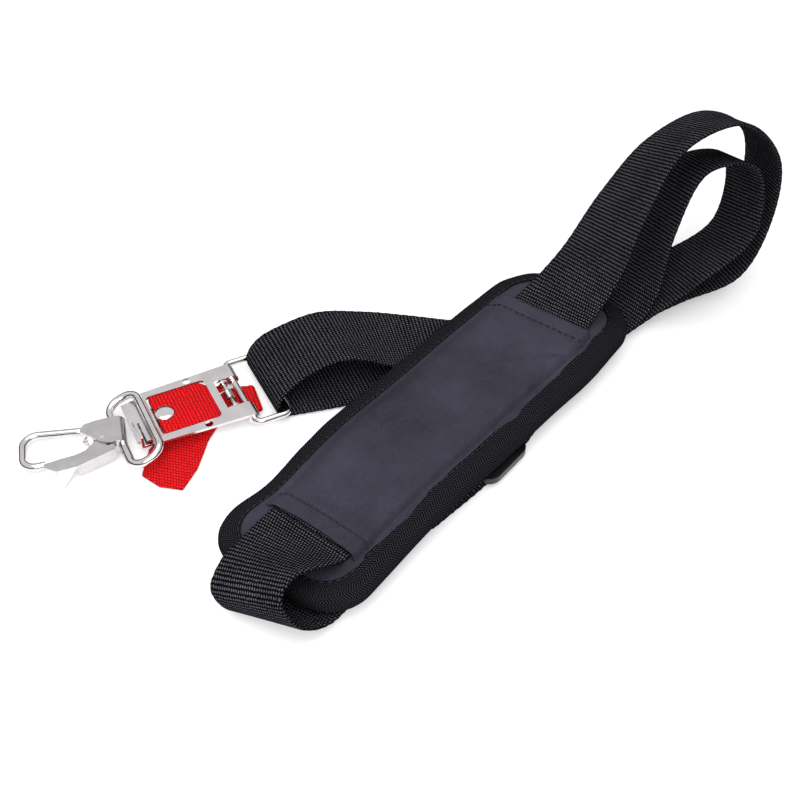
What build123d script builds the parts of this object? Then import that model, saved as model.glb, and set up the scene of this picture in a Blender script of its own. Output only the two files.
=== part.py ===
from build123d import *
import math
import os

# Padded shoulder strap with a spring hook and a pull-to-release plate, lying on a table.
# Millimetres, +Z up, X along the shoulder pad. Z = 0 is the table.
# Layout coordinates put the pad near the middle; ORIGIN_X and ORIGIN_Y move the
# bottom centre of the whole object to the origin.
ORIGIN_X = -30.36
ORIGIN_Y = -9.67

# webbing
WEB_WIDTH = 38.0
WEB_THICK = 1.5
SECTION_STEP = 6.0          # most distance between loft sections along a run

# shoulder pad
PAD_X0 = -118.0
PAD_X1 = 101.0
PAD_MID_Y = -30.0
PAD_WIDTH = 68.0
PAD_CORNER = 21.0
PAD_BOTTOM = 7.0            # the pad rests on the webbing that runs under it
PAD_TOP = 19.0
CLOTH = 0.8
BINDING_WIDTH = 8.0
SLEEVE_X0 = -94.0
SLEEVE_X1 = 70.0
SLEEVE_RISE = 1.9           # clear height inside the sleeve, for one webbing layer

# tri-glide buckle
GLIDE_X = -6.5
GLIDE_Y = -41.0
GLIDE_LENGTH = 29.0
GLIDE_WIDTH = 46.0
GLIDE_BAR = 3.0
GLIDE_RAIL = 3.6
GLIDE_CORNER = 6.0
GLIDE_BAR_Z = 4.2
GLIDE_BAR_THICK = 1.6
GLIDE_RAIL_THICK = 3.0

# hardware frame: origin on the strap ring's webbing bar, +X out to the hook
HARDWARE_X = -30.8
HARDWARE_Y = 48.2
HARDWARE_HEADING = 154.5

# strap ring
RING_WIRE = 1.5             # radius
RING_DEPTH = 15.0
RING_HALF_WIDTH = 21.0
RING_CORNER = 2.9
RING_Z = 5.2

# quick-release plate
SHEET = 1.2
PLATE_HALF_WIDTH = 18.0
PLATE_END_HALF_WIDTH = 16.4
PLATE_END = 56.6
PLATE_Z = RING_Z + RING_WIRE + 0.05
TONGUE_END = 65.2
TONGUE_HALF_WIDTH = 14.0
BIG_WINDOW = (27.5, 54.2, 12.8)
SMALL_WINDOW = (11.0, 24.0, 9.2)
KNUCKLE_INNER = 9.4
SLOT = (61.2, 64.0, 0.0, 13.4)
DRAIN_HOLE_X = 34.5
DRAIN_HOLE_Y = 15.0
DRAIN_HOLE_R = 1.8

# release lever under the plate
PIN_X = 20.0
PIN_Z = 6.0
PIN_R = 1.0
LEVER_Z = 3.4
LEVER_HALF_WIDTH = 8.8
LEVER_START = 26.2
LEVER_END = 63.6
FINGER_TOP = 9.6

# red pull strap
RED_WIDTH = 24.0
RED_THICK = 1.25
RED_NECK = 14.0             # gathered width where it passes between the ears
RIVET_X = 49.4
RIVET_R = 1.5
RIVET_HEAD_R = 4.5

# hook ring
HOOK_RING_WIRE = 1.9
HOOK_RING_DEPTH = 14.0
HOOK_RING_HALF_WIDTH = 20.5
HOOK_RING_CORNER = 6.0
HOOK_RING_X = 57.4
HOOK_RING_Y = 3.4             # hangs a little to the near side
HOOK_RING_TILT = 21.0
HOOK_RING_Z = PLATE_Z + SHEET + HOOK_RING_WIRE + 0.35

# snap hook, in its own frame: origin on the ring bar, +X to the hook's bow
HOOK_SWING = -12.5
HOOK_EYE_Y = 0.0
HOOK_TILT = 3.6
EYE_Y0 = -6.6
EYE_Y1 = 8.4
CHEEK_IN = 2.8
CHEEK_OUT = 3.7
HOOK_WIRE = 1.8
BOW_X = 40.0
BOW_Y0 = -9.3
BOW_Y1 = 10.4
BOW_CORNER = 6.0
HOOK_START = 13.0
SHANK_Y = -5.2
NOSE_X = 30.5

# sprung gate
GATE_PIVOT = (6.2, 4.0)
GATE_PIN_R = 1.0
GATE_Z = 1.95
GATE_SHEET = 0.8

# Webbing routes. Each station is the centre of the band and the direction across it,
# from its far edge to its near edge.
OUTER_LOOP = [
    ((70, -31, 19.2), (0, -1, 0)),
    ((73, -31, 19.4), (0, -1, 0)),
    ((84, -33, 25.5), (-0.16, -0.98, 0.06)),
    ((96, -36, 37), (-0.28, -0.95, 0.13)),
    ((117, -38, 60), (-0.42, -0.85, 0.30)),
    ((141, -43, 80), (-0.50, -0.77, 0.40)),
    ((166, -57, 86), (-0.51, -0.80, 0.32)),
    ((181, -71, 71), (-0.63, -0.76, 0.15)),
    ((180, -75, 40), (-0.65, -0.74, 0.15)),
    ((166, -69, 14), (-0.57, -0.82, 0.07)),
    ((146, -51.5, 4.5), (-0.54, -0.84, 0)),
    ((121, -40, 1.8), (-0.52, -0.85, 0)),
    ((97, -27, 1), (-0.50, -0.87, 0)),
    ((60, -7, 1), (-0.48, -0.88, 0)),
]
INNER_LOOP = [
    ((-50, -38.2, 1), (-0.08, -1, 0)),
    ((-25, -40.6, 1), (-0.04, -1, 0)),
    ((-15, -41, 1.1), (0, -1, 0)),
    ((-12, -41, 3.4), (0, -1, 0)),
    ((-9, -41, 5.8), (0, -1, 0)),
    ((-4, -41, 5.8), (0, -1, 0)),
    ((0.5, -41, 3.4), (0, -1, 0)),
    ((4, -41, 1.2), (0, -1, 0)),
    ((12, -40.5, 1), (0.03, -1, 0)),
    ((22, -39.7, 2.7), (0.03, -1, 0)),
    ((34, -38.9, 4.9), (0, -1, 0)),
    ((52, -38, 5.2), (0, -1, 0)),
    ((76, -38, 5.3), (-0.10, -0.99, 0)),
    ((99, -40, 5.1), (-0.20, -0.98, 0)),
    ((109, -42.5, 7.4), (-0.24, -0.97, 0.02)),
    ((120, -45, 16), (-0.30, -0.94, 0.13)),
    ((136, -46, 41), (-0.55, -0.79, 0.28)),
    ((154, -51, 65.5), (-0.62, -0.70, 0.34)),
    ((171, -67, 64.5), (-0.62, -0.70, 0.35)),
    ((163, -74, 36), (-0.55, -0.76, 0.35)),
    ((138, -61.5, 20), (-0.53, -0.81, 0.22)),
    ((118.5, -45, 6.2), (-0.43, -0.89, 0.02)),
    ((96, -38.5, 3.1), (-0.42, -0.90, 0)),
    ((72, -32, 2.8), (-0.46, -0.88, 0)),
    ((58, -20, 2.8), (-0.60, -0.80, 0)),
]
LOWER_FOLD = [
    ((-94, -31, 19.2), (0, -1, 0)),
    ((-97, -31, 19.4), (0, -1, 0)),
    ((-109, -32, 24), (0.02, -0.98, 0.19)),
    ((-123, -32, 27), (0.06, -0.92, 0.38)),
    ((-132.5, -34.5, 23.5), (0.06, -0.88, 0.44)),
    ((-129, -39, 10), (0.06, -0.90, 0.38)),
    ((-116.5, -38.6, 3.9), (0.08, -0.98, 0.12)),
    ((-98, -37.2, 2.7), (0.02, -1, 0)),
    ((-70, -36.8, 2.7), (0.03, -1, 0)),
    ((-45, -38.6, 2.7), (-0.08, -1, 0)),
    ((-20.5, -41, 2.6), (0, -1, 0)),
    ((-17.2, -41, 2.75), (0, -1, 0)),
    ((-16.5, -41, 4.2), (0, -1, 0)),
    ((-17.2, -41, 5.65), (0, -1, 0)),
    ((-20.5, -41, 5.85), (0, -1, 0)),
    ((-44, -38.5, 5.85), (-0.08, -1, 0)),
]
RING_UPPER = [
    ((58, -20, 2.8), (-0.60, -0.80, 0)),
    ((44, -3, 3.2), (-0.68, -0.73, 0)),
    ((28, 15, 5.6), (-0.62, -0.77, -0.14)),
    ((14, 26, 13.2), (-0.55, -0.83, -0.03)),
    ((-4, 37, 20.4), (-0.50, -0.86, 0.05)),
    ((-20, 45.5, 17.5), (-0.48, -0.88, 0.02)),
]
RING_LOWER = [
    ((-20.6, 40.8, 1.3), (-0.47, -0.88, 0)),
    ((-4.8, 29.6, 1), (-0.50, -0.87, 0)),
    ((27.3, 9, 1), (-0.50, -0.87, 0)),
    ((60, -7, 1), (-0.48, -0.88, 0)),
]
# The loose turn round the strap ring's bar, in the hardware frame.
BAR_TURN = [(-4.0, -1.6, 15.4), (1.2, -0.8, 12.4), (4.0, 0.0, 8.9), (4.4, 0.0, 6.0), (3.8, 0.0, 3.4),
            (2.0, 0.0, 1.7), (-1.5, 0.0, 1.15)]


def box(x0, x1, y0, y1, z0, z1):
    mid = Pos((x0 + x1) / 2, (y0 + y1) / 2, (z0 + z1) / 2)
    return mid * Box(x1 - x0, y1 - y0, z1 - z0)


def rod(radius, start, end):
    """A straight round bar between two points."""
    line = Vector(*end) - Vector(*start)
    plane = Plane(origin=start, z_dir=line)
    return extrude(plane * Circle(radius), line.length)


def prism(points, z0, z1):
    """An outline in plan, raised from z0 to z1."""
    outline = make_face(Polyline(*points, close=True))
    return Pos(0, 0, z0) * extrude(outline, z1 - z0)


def side_profile(points, y0, y1):
    """An outline in X and Z, carried across from y0 to y1."""
    corners = [(x, y1, z) for x, z in points]
    outline = make_face(Polyline(*corners, close=True))
    return extrude(outline, y1 - y0, dir=(0, -1, 0))


def wire_frame(depth, half_width, corner, radius):
    """A closed rounded rectangle of round wire, its first bar on the Y axis."""
    path = Pos(depth / 2, 0) * RectangleRounded(depth, 2 * half_width, corner)
    start = Plane(origin=(0, 0, 0), z_dir=(0, 1, 0))
    return sweep(start * Circle(radius), path=path.wire())


def cross(a, b):
    return (a[1] * b[2] - a[2] * b[1], a[2] * b[0] - a[0] * b[2], a[0] * b[1] - a[1] * b[0])


def unit(a):
    size = math.sqrt(sum(c * c for c in a))
    return tuple(c / size for c in a)


def mix(a, b, ta, tb, t):
    share = (t - ta) / (tb - ta)
    return tuple(x + (y - x) * share for x, y in zip(a, b))


def blend_points(p0, p1, p2, p3, share):
    """Centripetal Catmull-Rom point between p1 and p2."""
    t0 = 0.0
    t1 = t0 + math.dist(p0[:3], p1[:3]) ** 0.5
    t2 = t1 + math.dist(p1[:3], p2[:3]) ** 0.5
    t3 = t2 + math.dist(p2[:3], p3[:3]) ** 0.5
    t = t1 + (t2 - t1) * share
    a1 = mix(p0, p1, t0, t1, t)
    a2 = mix(p1, p2, t1, t2, t)
    a3 = mix(p2, p3, t2, t3, t)
    b1 = mix(a1, a2, t0, t2, t)
    b2 = mix(a2, a3, t1, t3, t)
    return mix(b1, b2, t1, t2, t)


def sections(stations):
    """Evenly smoothed (centre, across) pairs through the given stations."""
    rows = [tuple(centre) + unit(across) for centre, across in stations]
    first = tuple(2 * a - b for a, b in zip(rows[0], rows[1]))
    last = tuple(2 * a - b for a, b in zip(rows[-1], rows[-2]))
    rows = [first] + rows + [last]
    result = []
    for p0, p1, p2, p3 in zip(rows, rows[1:], rows[2:], rows[3:]):
        count = max(1, math.ceil(math.dist(p1[:3], p2[:3]) / SECTION_STEP))
        for i in range(count):
            result.append(blend_points(p0, p1, p2, p3, i / count))
    result.append(rows[-2])
    return [(row[:3], unit(row[3:])) for row in result]


def webbing(stations):
    """A flat woven band lofted along its stations."""
    rows = sections(stations)
    wires = []
    for i, (centre, across) in enumerate(rows):
        before = rows[max(i - 1, 0)][0]
        after = rows[min(i + 1, len(rows) - 1)][0]
        along = unit(tuple(b - a for a, b in zip(before, after)))
        lift = unit(cross(across, along))
        corners = []
        for side, level in ((-1, -1), (1, -1), (1, 1), (-1, 1)):
            corners.append(tuple(c + side * WEB_WIDTH / 2 * a + level * WEB_THICK / 2 * n
                                 for c, a, n in zip(centre, across, lift)))
        wires.append(Wire.make_polygon([Vector(*c) for c in corners], close=True))
    return Solid.make_loft(wires, ruled=True)


def hardware(shape):
    return Pos(HARDWARE_X, HARDWARE_Y, 0) * Rot(0, 0, HARDWARE_HEADING) * shape


def hardware_point(x, y, z):
    turn = math.radians(HARDWARE_HEADING)
    return (HARDWARE_X + x * math.cos(turn) - y * math.sin(turn),
            HARDWARE_Y + x * math.sin(turn) + y * math.cos(turn), z)


def ring_wrap():
    """Stations that carry the webbing round the strap ring's bar."""
    turn = math.radians(HARDWARE_HEADING)
    across = (-math.sin(turn), math.cos(turn), 0)
    return [(hardware_point(x, y, z), across) for x, y, z in BAR_TURN]


def webbing_runs():
    (x0, mid_y, mid_z), _ = LOWER_FOLD[0]
    (x1, _, _), _ = OUTER_LOOP[0]
    half = WEB_WIDTH / 2
    return {
        "webbing_sleeve": box(x0, x1, mid_y - half, mid_y + half, mid_z - WEB_THICK / 2,
                              mid_z + WEB_THICK / 2),
        "webbing_outer_loop": webbing(OUTER_LOOP),
        "webbing_inner_loop": webbing(INNER_LOOP),
        "webbing_lower_fold": webbing(LOWER_FOLD),
        "webbing_ring_run": webbing(RING_UPPER + ring_wrap() + RING_LOWER),
    }


def pad_outline(inset):
    length = PAD_X1 - PAD_X0 - 2 * inset
    corner = max(PAD_CORNER - inset, 2)
    mid = Pos((PAD_X0 + PAD_X1) / 2, PAD_MID_Y)
    return mid * RectangleRounded(length, PAD_WIDTH - 2 * inset, corner)


def pad_layer(inset, z0, z1):
    return Pos(0, 0, z0) * extrude(pad_outline(inset), z1 - z0)


def shoulder_pad():
    floor = PAD_BOTTOM + CLOTH
    roof = PAD_TOP - CLOTH
    binding = pad_layer(0, PAD_BOTTOM, PAD_TOP)
    binding -= pad_layer(BINDING_WIDTH, PAD_BOTTOM - 1, PAD_TOP + 1)
    binding -= pad_layer(CLOTH, floor, roof)
    return {
        "pad_back": pad_layer(CLOTH, floor, floor + CLOTH),
        "pad_foam": pad_layer(CLOTH, floor + CLOTH, roof - CLOTH),
        "pad_face": pad_layer(CLOTH, roof - CLOTH, roof),
        "pad_binding": binding,
    }


def sleeve_panel():
    """The face cloth's second layer, open at both ends for the webbing."""
    half = PAD_WIDTH / 2 - BINDING_WIDTH - 0.1
    low = PAD_TOP - CLOTH
    top = low + SLEEVE_RISE
    inner = [(-half + 4.4, low), (-half + 5.2, top), (half - 5.2, top), (half - 4.4, low)]
    outer = [(half, low), (half, low + CLOTH), (half - 3.8, low + CLOTH), (half - 4.6, top + CLOTH),
             (-half + 4.6, top + CLOTH), (-half + 3.8, low + CLOTH), (-half, low + CLOTH), (-half, low)]
    corners = [(SLEEVE_X0 + 1, PAD_MID_Y + y, z) for y, z in inner + outer]
    outline = make_face(Polyline(*corners, close=True))
    return extrude(outline, SLEEVE_X1 - SLEEVE_X0 - 2, dir=(1, 0, 0))


def tri_glide():
    outline = RectangleRounded(GLIDE_LENGTH, GLIDE_WIDTH, GLIDE_CORNER)
    slot_length = (GLIDE_LENGTH - 3 * GLIDE_BAR) / 2
    slot_width = GLIDE_WIDTH - 2 * GLIDE_RAIL
    frame = extrude(outline, GLIDE_BAR_THICK / 2, both=True)
    for side in (-1, 1):
        frame -= Pos(side * (GLIDE_BAR + slot_length) / 2, 0) * Box(slot_length, slot_width, 9)
    rails = extrude(outline, GLIDE_RAIL_THICK / 2, both=True) - Box(GLIDE_LENGTH + 2, slot_width, 9)
    return Pos(GLIDE_X, GLIDE_Y, GLIDE_BAR_Z) * (frame + rails)


def strap_ring():
    frame = wire_frame(RING_DEPTH, RING_HALF_WIDTH, RING_CORNER, RING_WIRE)
    return hardware(Pos(0, 0, RING_Z) * frame)


def release_plate():
    top = PLATE_Z + SHEET
    outline = [(RING_DEPTH, -PLATE_HALF_WIDTH), (PLATE_END, -PLATE_END_HALF_WIDTH),
               (PLATE_END, -TONGUE_HALF_WIDTH), (TONGUE_END, -TONGUE_HALF_WIDTH + 1.5),
               (TONGUE_END, TONGUE_HALF_WIDTH - 1.5), (PLATE_END, TONGUE_HALF_WIDTH),
               (PLATE_END, PLATE_END_HALF_WIDTH), (RING_DEPTH, PLATE_HALF_WIDTH)]
    plate = prism(outline, PLATE_Z, top)
    x0, x1, half = BIG_WINDOW
    window = Pos((x0 + x1) / 2, 0) * RectangleRounded(x1 - x0, 2 * half, 2)
    plate -= Pos(0, 0, PLATE_Z - 1) * extrude(window, SHEET + 2)
    for side in (-1, 1):
        knuckle_y = side * (PLATE_HALF_WIDTH + KNUCKLE_INNER) / 2
        barrel = Rot(90, 0, 0) * Cylinder(RING_WIRE + 0.05 + SHEET, PLATE_HALF_WIDTH - KNUCKLE_INNER)
        plate += Pos(RING_DEPTH, knuckle_y, RING_Z) * barrel
        lug_y = side * (SMALL_WINDOW[2] + SHEET / 2)
        plate += box(PIN_X - 2.2, PIN_X + 2.2, lug_y - SHEET / 2, lug_y + SHEET / 2, PIN_Z - 2, PLATE_Z)
        plate -= Pos(DRAIN_HOLE_X, side * DRAIN_HOLE_Y, PLATE_Z) * Cylinder(DRAIN_HOLE_R, 9)
    x0, x1, half = SMALL_WINDOW
    plate -= box(x0, x1, -half, half, PLATE_Z - 0.01, top + 1)
    bore = Pos(RING_DEPTH, 0, RING_Z) * Rot(90, 0, 0) * Cylinder(RING_WIRE + 0.05, 60)
    pin_bore = Pos(PIN_X, 0, PIN_Z) * Rot(90, 0, 0) * Cylinder(PIN_R, 2 * (SMALL_WINDOW[2] + SHEET))
    plate -= bore
    plate -= pin_bore
    x0, x1, y0, y1 = SLOT
    plate -= box(x0, x1, y0, y1, PLATE_Z - 1, top + 1)
    return hardware(plate)


def lever_pin():
    reach = SMALL_WINDOW[2] + SHEET
    return hardware(rod(PIN_R, (PIN_X, -reach, PIN_Z), (PIN_X, reach, PIN_Z)))


def release_lever():
    floor = box(LEVER_START, LEVER_END, -LEVER_HALF_WIDTH, LEVER_HALF_WIDTH, LEVER_Z, LEVER_Z + SHEET)
    floor += box(58.6, LEVER_END, 0, 12.4, LEVER_Z, LEVER_Z + SHEET)
    floor += box(LEVER_END - SHEET, LEVER_END, 1, 12.4, LEVER_Z, FINGER_TOP)
    ear = [(PIN_X - 2, PIN_Z - 1.4), (PIN_X - 1, LEVER_Z), (LEVER_START + 3, LEVER_Z),
           (LEVER_START + 3, LEVER_Z + SHEET), (PIN_X + 2, PIN_Z + 0.9), (PIN_X + 1, PIN_Z + 1.9),
           (PIN_X - 1, PIN_Z + 1.9), (PIN_X - 2, PIN_Z + 0.9)]
    for side in (-1, 1):
        edge = side * LEVER_HALF_WIDTH
        floor += side_profile(ear, min(edge, edge - side * SHEET), max(edge, edge - side * SHEET))
    floor -= Pos(PIN_X, 0, PIN_Z) * Rot(90, 0, 0) * Cylinder(PIN_R + 0.05, 30)
    floor -= Pos(RIVET_X, 0, LEVER_Z) * Cylinder(RIVET_R, 9)
    return hardware(floor)


def lever_spring():
    """Torsion spring on the lever pin: one leg under the plate, one against the lever's ear."""
    wire = 0.35
    inner = PIN_R + 0.1
    reach = 2.7
    coil = rod(inner + 2 * wire, (PIN_X, -reach, PIN_Z), (PIN_X, reach, PIN_Z))
    spring = coil - rod(inner, (PIN_X, -reach - 1, PIN_Z), (PIN_X, reach + 1, PIN_Z))
    crest = PIN_Z + PIN_R + 0.1 + wire
    under = PLATE_Z - wire - 0.05
    leg_y = reach - 0.5
    bend_x = SMALL_WINDOW[1] - 0.8
    spring += rod(wire, (PIN_X, -leg_y, crest), (bend_x, -leg_y, under))
    spring += rod(wire, (bend_x, -leg_y, under), (SMALL_WINDOW[1] + 2.4, -leg_y, under))
    spring += rod(wire, (PIN_X, leg_y, crest), (PIN_X, LEVER_HALF_WIDTH - SHEET - 0.2, crest))
    return hardware(spring)


def release_strap():
    """Red webbing riveted on the lever, gathered where it passes between the lever's ears."""
    low = LEVER_Z + SHEET + 0.1
    half = RED_WIDTH / 2
    strap = box(30.5, 53, -half, half, low, low + 2 * RED_THICK)
    strap += box(LEVER_START + 0.2, 30.5, -RED_NECK / 2, RED_NECK / 2, low, low + RED_THICK)
    strap -= Pos(RIVET_X, 0, low) * Cylinder(RIVET_R, 9)
    return hardware(strap)


def pull_tail():
    """The free end of the red webbing, folded flat on the table beside the plate."""
    tail = [(27.5, -6), (40, -3), (61, 12), (68, 24.5), (63.5, 33.8), (55.5, 39.7), (46, 31), (36.8, 17.8),
            (27.5, 8)]
    return hardware(prism(tail, 0.2, 0.2 + RED_THICK))


def pull_fold():
    """The red webbing's turn under the strap ring's bar, from the rivet run back to the tail."""
    half = RED_NECK / 2
    upper = 2.4
    low = 0.2 + RED_THICK / 2
    bend = (upper - low) / 2
    stations = [(25.6, 5.3), (23.8, 4.0), (21.8, 2.7), (19.5, upper), (10.5, upper),
                (10.5 - bend, (upper + low) / 2), (10.5, low), (25.5, low)]
    shape = None
    for (x0, z0), (x1, z1) in zip(stations, stations[1:]):
        run = math.hypot(x1 - x0, z1 - z0)
        slab = Rot(0, -math.degrees(math.atan2(z1 - z0, x1 - x0)), 0) * Box(run, 2 * half, RED_THICK - 0.1)
        slab = Pos((x0 + x1) / 2, 0, (z0 + z1) / 2) * slab
        joint = Pos(x1, 0, z1) * Rot(90, 0, 0) * Cylinder((RED_THICK - 0.1) / 2, 2 * half)
        shape = slab if shape is None else shape + slab
        if (x1, z1) != stations[-1]:
            shape += joint
    return hardware(shape)


def strap_rivet():
    top = LEVER_Z + SHEET + 0.1 + 2 * RED_THICK
    dome = Pos(RIVET_X, 0, top) * Cylinder(RIVET_HEAD_R, 0.8, align=(Align.CENTER, Align.CENTER, Align.MIN))
    crown = Pos(RIVET_X, 0, top + 0.8) * Cone(RIVET_HEAD_R, RIVET_HEAD_R - 2, 0.7,
                                              align=(Align.CENTER, Align.CENTER, Align.MIN))
    shank = rod(RIVET_R, (RIVET_X, 0, LEVER_Z - 0.9), (RIVET_X, 0, top))
    tail = rod(RIVET_R + 1.2, (RIVET_X, 0, LEVER_Z - 1.4), (RIVET_X, 0, LEVER_Z - 0.7))
    return hardware(dome + crown + shank + tail)


def rivet_washer():
    washer = rod(RIVET_R + 2.2, (RIVET_X, 0, LEVER_Z - 0.7), (RIVET_X, 0, LEVER_Z))
    washer -= rod(RIVET_R, (RIVET_X, 0, LEVER_Z - 2), (RIVET_X, 0, LEVER_Z + 1))
    return hardware(washer)


def hook_ring():
    frame = wire_frame(HOOK_RING_DEPTH, HOOK_RING_HALF_WIDTH, HOOK_RING_CORNER, HOOK_RING_WIRE)
    return hardware(Pos(HOOK_RING_X, HOOK_RING_Y, HOOK_RING_Z) * Rot(0, HOOK_RING_TILT, 0) * frame)


def eye_centre():
    tilt = math.radians(HOOK_RING_TILT)
    reach = HOOK_RING_DEPTH * math.cos(tilt)
    drop = HOOK_RING_DEPTH * math.sin(tilt)
    return (HOOK_RING_X + reach, HOOK_EYE_Y, HOOK_RING_Z - drop)


def on_hook(shape):
    return hardware(Pos(*eye_centre()) * Rot(0, HOOK_TILT, 0) * Rot(0, 0, HOOK_SWING) * shape)


def hook_body():
    cheek = [(0, EYE_Y0), (9, -6.2), (13.5, -5.2), (15.4, -1.6), (11, 2.6), (7, 6.6), (3.4, EYE_Y1),
             (0, EYE_Y1)]
    body = prism(cheek, CHEEK_IN, CHEEK_OUT) + prism(cheek, -CHEEK_OUT, -CHEEK_IN)
    body += box(1, HOOK_START, EYE_Y0, -1.6, -CHEEK_IN, CHEEK_IN)
    body += Pos(0, (EYE_Y0 + EYE_Y1) / 2, 0) * Rot(90, 0, 0) * Cylinder(CHEEK_OUT, EYE_Y1 - EYE_Y0)
    body -= Rot(0, 0, -HOOK_SWING) * Rot(90, 0, 0) * Cylinder(HOOK_RING_WIRE + 0.08, 40)
    x, y = GATE_PIVOT
    body -= Pos(x, y, 0) * Cylinder(GATE_PIN_R, 20)
    return on_hook(body)


def hook_wire():
    path = FilletPolyline((HOOK_START, SHANK_Y), (HOOK_START + 3, SHANK_Y), (BOW_X, BOW_Y0), (BOW_X, BOW_Y1),
                          (NOSE_X, BOW_Y1), radius=BOW_CORNER)
    start = Plane(origin=(HOOK_START, SHANK_Y, 0), z_dir=(1, 0, 0))
    return on_hook(sweep(start * Circle(HOOK_WIRE), path=path))


def gate():
    """Sprung leaf with a flange down its near side and a thumb tab bent down at its end."""
    top = GATE_Z + GATE_SHEET
    leaf = [(4.8, 1.8), (10, 5.4), (13.4, 9.4), (18, 10.8), (24, 11.3), (30.8, 12.4), (31.2, 13.8),
            (27.6, 16.6), (25.2, 18.2), (17.3, 17.8), (1, 12.2), (1.6, 9.4), (4.8, 8.8)]
    shape = prism(leaf, GATE_Z, top)
    shape += prism([(1, 12.2), (17.3, 17.8), (17.6, 16.8), (1.3, 11.2)], -2.6, top)
    bend = Plane(origin=(0, 17.6, top), x_dir=(1, 0, 0), z_dir=(0, 0.574, 0.819))
    tab = make_face(Polyline((17.3, 0), (25.2, 0.4), (25.2, 7.4), (23.8, 7.4), close=True))
    shape += extrude(bend * tab, -GATE_SHEET)
    x, y = GATE_PIVOT
    shape -= Pos(x, y, 0) * Cylinder(GATE_PIN_R + 0.05, 20)
    return on_hook(shape)


def gate_pin():
    x, y = GATE_PIVOT
    return on_hook(rod(GATE_PIN_R, (x, y, -CHEEK_OUT), (x, y, CHEEK_OUT)))


def gate_spring():
    """Torsion spring round the gate's rivet, one leg against the body's core."""
    wire = 0.3
    inner = GATE_PIN_R + 0.12
    x, y = GATE_PIVOT
    low = -2.0
    spring = rod(inner + 2 * wire, (x, y, low), (x, y, GATE_Z - 0.3))
    spring -= rod(inner, (x, y, low - 1), (x, y, GATE_Z))
    leg = low + 0.5
    spring += rod(wire, (x, y - inner - wire, leg), (x + 5, -1.2, leg))
    return on_hook(spring)


def main():
    os.makedirs("parts", exist_ok=True)
    pieces = webbing_runs()
    pieces.update(shoulder_pad())
    for make in (sleeve_panel, tri_glide, strap_ring, release_plate, lever_pin, release_lever,
                 lever_spring, release_strap, pull_tail, pull_fold, strap_rivet, rivet_washer,
                 hook_ring, hook_body, hook_wire, gate, gate_pin, gate_spring):
        pieces[make.__name__] = make()
    lows = []
    highs = []
    for name, shape in pieces.items():
        placed = shape.moved(Location((ORIGIN_X, ORIGIN_Y, 0)))
        export_step(placed, f"parts/{name}.step")
        lows.append(tuple(placed.bounding_box().min))
        highs.append(tuple(placed.bounding_box().max))
    print("bounds", [min(v) for v in zip(*lows)], [max(v) for v in zip(*highs)])


main()
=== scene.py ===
import math

import bmesh
import bpy
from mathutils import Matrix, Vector, noise


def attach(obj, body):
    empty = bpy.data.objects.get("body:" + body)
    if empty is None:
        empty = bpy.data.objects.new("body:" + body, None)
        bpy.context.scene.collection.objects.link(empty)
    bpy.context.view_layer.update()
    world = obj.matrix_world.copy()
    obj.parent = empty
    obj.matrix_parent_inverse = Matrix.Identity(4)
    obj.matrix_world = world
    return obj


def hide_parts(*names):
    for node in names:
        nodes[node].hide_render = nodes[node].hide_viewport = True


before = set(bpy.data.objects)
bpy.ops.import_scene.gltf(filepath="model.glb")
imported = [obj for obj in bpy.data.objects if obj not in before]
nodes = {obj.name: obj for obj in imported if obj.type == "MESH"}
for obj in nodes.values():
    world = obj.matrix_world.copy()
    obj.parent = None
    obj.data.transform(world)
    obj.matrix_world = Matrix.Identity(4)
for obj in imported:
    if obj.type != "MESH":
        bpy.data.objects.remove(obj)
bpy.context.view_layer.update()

MM = 0.001
ORIGIN = Vector((-30.36, -9.67, 0.0))      # layout to row frame, mm
WEB_WIDTH = 38.0
WEB_THICK = 1.5
WEB_STEP = 1.6            # spacing of the webbing's cross sections, mm
SELVAGE_DEPTH = 0.16      # scallops along a band's edge, mm
SELVAGE_PITCH = 2.1
UNDERSIDE_U = 97.0        # shift across, so the underside's weave doesn't mirror the top's
NYLON_WEAVE = 6200.0      # radians per metre: a yarn every half millimetre

# Webbing routes in layout millimetres, as in the CAD: centre, direction across.
OUTER_LOOP = [
    ((70, -31, 19.2), (0, -1, 0)),
    ((73, -31, 19.4), (0, -1, 0)),
    ((84, -33, 25.5), (-0.16, -0.98, 0.06)),
    ((96, -36, 37), (-0.28, -0.95, 0.13)),
    ((117, -38, 60), (-0.42, -0.85, 0.30)),
    ((141, -43, 80), (-0.50, -0.77, 0.40)),
    ((166, -57, 86), (-0.51, -0.80, 0.32)),
    ((181, -71, 71), (-0.63, -0.76, 0.15)),
    ((180, -75, 40), (-0.65, -0.74, 0.15)),
    ((166, -69, 14), (-0.57, -0.82, 0.07)),
    ((146, -51.5, 4.5), (-0.54, -0.84, 0)),
    ((121, -40, 1.8), (-0.52, -0.85, 0)),
    ((97, -27, 1), (-0.50, -0.87, 0)),
    ((60, -7, 1), (-0.48, -0.88, 0)),
]
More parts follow.
